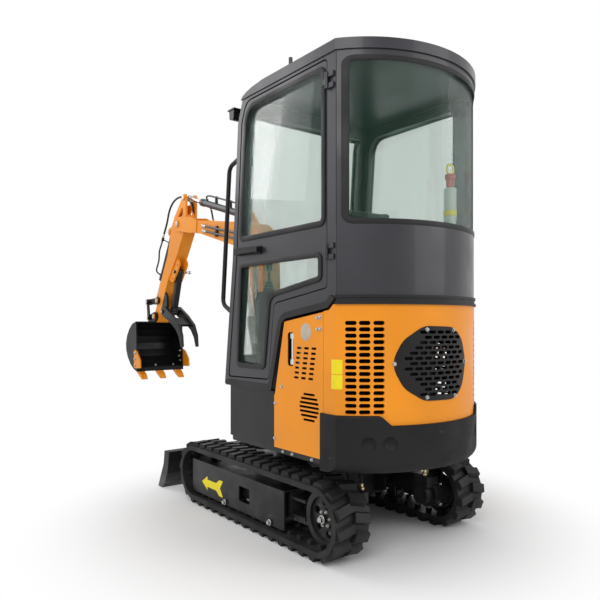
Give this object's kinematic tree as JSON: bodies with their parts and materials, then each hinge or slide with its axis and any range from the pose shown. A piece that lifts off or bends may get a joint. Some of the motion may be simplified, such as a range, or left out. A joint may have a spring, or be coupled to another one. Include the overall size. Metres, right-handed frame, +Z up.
{
  "type": "mini excavator",
  "caption": "Small tracked excavator with a closed cab, slewing upper body, swing boom, arm, thumb and toothed bucket, and a dozer blade, jointed at every working pin.",
  "frame": {"origin": "on the ground under the slew axis, midway between the tracks", "axes": "+X forward to the boom and blade, +Y to the left, where the door is, +Z up"},
  "size_m": [2.9879, 0.93, 2.1556],
  "materials": {
    "black_steel": "satin black paint",
    "track_rubber": "matte",
    "wheel_steel": "satin black paint",
    "cylinder_paint": "satin black paint",
    "rod_chrome": "polished",
    "box_black": "satin black paint",
    "weight_black": "coarse textured black paint",
    "orange_paint": "gloss paint",
    "grille_plastic": "moulded",
    "engine_iron": "rough",
    "gauge_chrome": "polished",
    "trim_rubber": "matte",
    "cab_grey": "satin charcoal paint",
    "window_glass": "clear with a green tint",
    "seat_cover": "woven",
    "bottle_white": "gloss paint",
    "hose_rubber": "smooth black hose"
  },
  "bodies": {
    "undercarriage": {"car_body": "black_steel", "left_track": "track_rubber", "right_track": "track_rubber", "track_frames": "black_steel", "sprockets": "wheel_steel", "idlers": "wheel_steel", "rollers": "wheel_steel", "travel_motors": "black_steel", "left_travel_hose_a": "hose_rubber", "left_travel_hose_b": "hose_rubber", "right_travel_hose_a": "hose_rubber", "right_travel_hose_b": "hose_rubber"},
    "blade": {"blade": "black_steel"},
    "blade_barrel": {"blade_cylinder": "cylinder_paint"},
    "blade_piston": {"blade_rod": "rod_chrome"},
    "upper": {"platform": "black_steel", "lower_boxes": "box_black", "counterweight": "weight_black", "rear_hood": "orange_paint", "radiator_grille": "grille_plastic", "left_side_panel": "orange_paint", "right_side_panel": "orange_paint", "engine": "engine_iron", "sight_gauge": "gauge_chrome", "cab_trim": "trim_rubber", "cab_floor": "cab_grey", "cab_left_frame": "cab_grey", "cab_right_wall": "cab_grey", "cab_front_frame": "cab_grey", "cab_rear_panel": "cab_grey", "cab_roof": "cab_grey", "windshield": "window_glass", "rear_window": "window_glass", "right_windows": "window_glass", "seat": "seat_cover", "consoles": "grille_plastic", "travel_levers": "box_black", "grab_rail": "box_black", "work_lamp": "box_black", "extinguisher": "bottle_white"},
    "door": {"door_frame": "cab_grey", "door_glass": "window_glass", "door_handle": "grille_plastic"},
    "swing": {"swing_post": "black_steel"},
    "boom": {"boom": "orange_paint", "arm_hose": "hose_rubber"},
    "boom_barrel": {"boom_cylinder": "cylinder_paint"},
    "boom_piston": {"boom_rod": "rod_chrome"},
    "arm": {"arm": "orange_paint", "thumb": "black_steel", "bucket_hose": "hose_rubber"},
    "arm_barrel": {"arm_cylinder": "cylinder_paint"},
    "arm_piston": {"arm_rod": "rod_chrome"},
    "bucket": {"bucket": "black_steel", "bucket_teeth": "orange_paint"},
    "bucket_barrel": {"bucket_cylinder": "cylinder_paint"},
    "bucket_piston": {"bucket_rod": "rod_chrome"},
    "rocker": {"bucket_rocker": "black_steel"},
    "link": {"bucket_link": "black_steel"}
  },
  "joints": [
    {"name": "slew", "type": "hinge", "parent": "undercarriage", "child": "upper", "pos_m": [0, 0, 0.376], "axis": [0, 0, 1], "continuous": true},
    {"name": "blade_lift", "type": "hinge", "parent": "undercarriage", "child": "blade", "pos_m": [0.3, 0, 0.168], "axis": [0, -1, 0], "range_deg": [-14, 16]},
    {"name": "blade_barrel_pivot", "type": "hinge", "parent": "undercarriage", "child": "blade_barrel", "pos_m": [0.285, 0, 0.268], "axis": [0, -1, 0], "range_deg": [-14.14, 16.09]},
    {"name": "blade_rod_slide", "type": "slide", "parent": "blade_barrel", "child": "blade_piston", "axis": [0.999, 0, -0.0444], "range_m": [-0.0305, 0.0269]},
    {"name": "door_swing", "type": "hinge", "parent": "upper", "child": "door", "pos_m": [-0.578, 0.439, 1.3], "axis": [0, 0, 1], "range_deg": [0, 105]},
    {"name": "boom_swing", "type": "hinge", "parent": "upper", "child": "swing", "pos_m": [0.345, 0, 0.508], "axis": [0, 0, 1], "range_deg": [-50, 50]},
    {"name": "boom_lift", "type": "hinge", "parent": "swing", "child": "boom", "pos_m": [0.435, 0, 0.69], "axis": [0, -1, 0], "range_deg": [-75, 20]},
    {"name": "boom_barrel_pivot", "type": "hinge", "parent": "swing", "child": "boom_barrel", "pos_m": [0.545, 0, 0.59], "axis": [0, -1, 0], "range_deg": [-76.9, 20.87]},
    {"name": "boom_rod_slide", "type": "slide", "parent": "boom_barrel", "child": "boom_piston", "axis": [0.2373, 0, 0.9714], "range_m": [-0.1726, 0.0475]},
    {"name": "arm_swing", "type": "hinge", "parent": "boom", "child": "arm", "pos_m": [1.513, 0, 1.682], "axis": [0, 1, 0], "range_deg": [-45, 55]},
    {"name": "arm_barrel_pivot", "type": "hinge", "parent": "boom", "child": "arm_barrel", "pos_m": [0.7, 0, 1.633], "axis": [0, 1, 0], "range_deg": [-0.94, 1.04]},
    {"name": "arm_rod_slide", "type": "slide", "parent": "arm_barrel", "child": "arm_piston", "axis": [0.957, 0, 0.2901], "range_m": [-0.1335, 0.1627]},
    {"name": "bucket_curl", "type": "hinge", "parent": "arm", "child": "bucket", "pos_m": [1.905, 0, 1.028], "axis": [0, 1, 0], "range_deg": [-75, 68]},
    {"name": "rocker_pivot", "type": "hinge", "parent": "arm", "child": "rocker", "pos_m": [1.87, 0, 1.148], "axis": [0, 1, 0], "range_deg": [-47.88, 43.46]},
    {"name": "link_pivot", "type": "hinge", "parent": "rocker", "child": "link", "pos_m": [2.005, 0, 1.14], "axis": [0, 1, 0], "range_deg": [-39.63, 43.66]},
    {"name": "bucket_barrel_pivot", "type": "hinge", "parent": "arm", "child": "bucket_barrel", "pos_m": [1.7, 0, 1.65], "axis": [0, 1, 0], "range_deg": [-6.2, 5.67]},
    {"name": "bucket_rod_slide", "type": "slide", "parent": "bucket_barrel", "child": "bucket_piston", "axis": [0.5133, 0, -0.8582], "range_m": [-0.0924, 0.084]}
  ],
  "couplings": [
    {"joint": "blade_barrel_pivot", "follows": "blade_lift", "ratio": 0.95534},
    {"joint": "blade_rod_slide", "follows": "blade_lift", "m_per_rad": -0.10006},
    {"joint": "boom_barrel_pivot", "follows": "boom_lift", "ratio": 0.99874},
    {"joint": "boom_rod_slide", "follows": "boom_lift", "m_per_rad": 0.12776},
    {"joint": "arm_barrel_pivot", "follows": "arm_swing", "ratio": 0.00961},
    {"joint": "arm_rod_slide", "follows": "arm_swing", "m_per_rad": 0.16411},
    {"joint": "rocker_pivot", "follows": "bucket_curl", "ratio": 0.61939},
    {"joint": "link_pivot", "follows": "bucket_curl", "ratio": -0.56421},
    {"joint": "bucket_barrel_pivot", "follows": "bucket_curl", "ratio": 0.07453},
    {"joint": "bucket_rod_slide", "follows": "bucket_curl", "m_per_rad": 0.06774}
  ]
}
